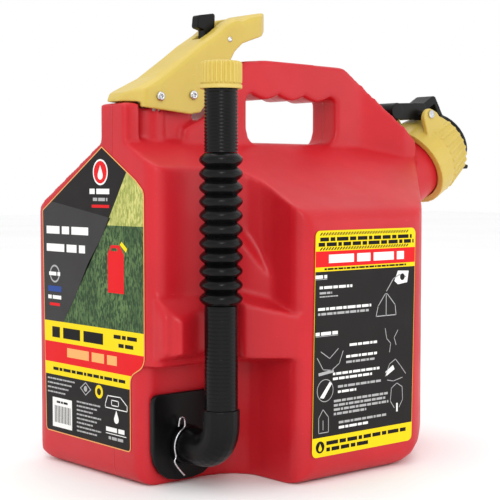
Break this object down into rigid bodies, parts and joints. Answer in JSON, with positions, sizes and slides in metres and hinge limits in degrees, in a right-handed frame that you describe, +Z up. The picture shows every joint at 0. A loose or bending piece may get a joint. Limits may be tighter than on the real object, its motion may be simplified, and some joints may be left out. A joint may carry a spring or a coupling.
{
  "type": "safety gas can",
  "caption": "Moulded fuel can with a thumb trigger on a bottom valve, a swivelling bellows spout with a screw cap, and a spring-closed fill lid on a screw collar.",
  "frame": {"origin": "middle of the tank's flat base, half way along the tank and half way across it", "axes": "+Z up; -X is the front, where the trigger is, and +X the fill cap end; -Y is the side that carries the spout"},
  "size_m": [0.3559, 0.2006, 0.3205],
  "materials": {
    "tank_plastic": "satin blow-moulded polyethylene",
    "yellow_plastic": "satin moulded plastic",
    "black_plastic": "satin moulded plastic",
    "spout_plastic": "semi-gloss flexible plastic",
    "rubber": "matte",
    "steel": "zinc plated",
    "natural_plastic": "natural acetal",
    "label_film": "printed film"
  },
  "bodies": {
    "can": {"tank": "tank_plastic", "front_label": "label_film", "side_label": "label_film", "rod_guide": "natural_plastic", "rod_seal": "rubber", "valve_body": "black_plastic", "outlet_gasket": "rubber", "outlet_plate": "black_plastic", "wire_clip": "steel", "flame_arrestor": "steel"},
    "trigger": {"trigger_lever": "yellow_plastic", "pivot_screw": "steel", "pivot_nut": "steel", "link_screw": "steel", "link_nut": "steel", "safety_tab_pin": "steel", "safety_tab_spring": "steel"},
    "safety_catch": {"safety_tab": "black_plastic"},
    "valve_rod": {"control_rod": "steel", "rod_collar": "steel", "return_spring": "steel", "poppet": "natural_plastic", "poppet_seal": "rubber"},
    "spout": {"swivel_elbow": "black_plastic", "swivel_seal_1": "rubber", "swivel_seal_2": "rubber", "lower_tube": "spout_plastic", "bellows": "spout_plastic", "nozzle_tube": "spout_plastic", "nozzle_screen": "steel"},
    "nozzle_cap": {"spout_cap": "yellow_plastic", "cap_gasket": "rubber"},
    "fill_cap": {"fill_collar": "yellow_plastic", "collar_gasket": "rubber", "lid_pin": "steel", "lid_spring": "steel"},
    "lid": {"fill_lid": "black_plastic", "lid_gasket": "rubber"},
    "latch": {"latch_lever": "black_plastic"}
  },
  "joints": [
    {"name": "trigger_hinge", "type": "hinge", "parent": "can", "child": "trigger", "pos_m": [-0.08, 0, 0.259], "axis": [0, 1, 0], "range_deg": [0, 12], "stiffness_Nm_per_rad": 1.5, "springref_deg": -17.19},
    {"name": "valve_lift", "type": "slide", "parent": "can", "child": "valve_rod", "axis": [0, 0, 1], "range_m": [0, 0.0062], "deforming": ["return_spring"]},
    {"name": "safety_tab_hinge", "type": "hinge", "parent": "trigger", "child": "safety_catch", "pos_m": [-0.047, 0, 0.299], "axis": [0, -1, 0], "range_deg": [0, 12], "stiffness_Nm_per_rad": 0.1, "springref_deg": -11.46},
    {"name": "spout_swivel", "type": "hinge", "parent": "can", "child": "spout", "pos_m": [-0.1044, -0.075, 0.026], "axis": [0, -1, 0], "range_deg": [0, 180]},
    {"name": "nozzle_cap_off", "type": "slide", "parent": "spout", "child": "nozzle_cap", "axis": [0, 0, 1], "range_m": [0, 0.03]},
    {"name": "fill_cap_off", "type": "slide", "parent": "can", "child": "fill_cap", "axis": [0.866, 0, 0.5], "range_m": [0, 0.04]},
    {"name": "lid_hinge", "type": "hinge", "parent": "fill_cap", "child": "lid", "pos_m": [0.15482, 0, 0.25354], "axis": [0, -1, 0], "range_deg": [0, 80], "stiffness_Nm_per_rad": 0.08, "springref_deg": -28.65},
    {"name": "latch_hinge", "type": "hinge", "parent": "fill_cap", "child": "latch", "pos_m": [0.15482, 0, 0.25354], "axis": [0, -1, 0], "range_deg": [0, 6], "stiffness_Nm_per_rad": 0.2, "springref_deg": -11.46}
  ],
  "couplings": [
    {"joint": "valve_lift", "follows": "trigger_hinge", "m_per_rad": 0.028}
  ]
}
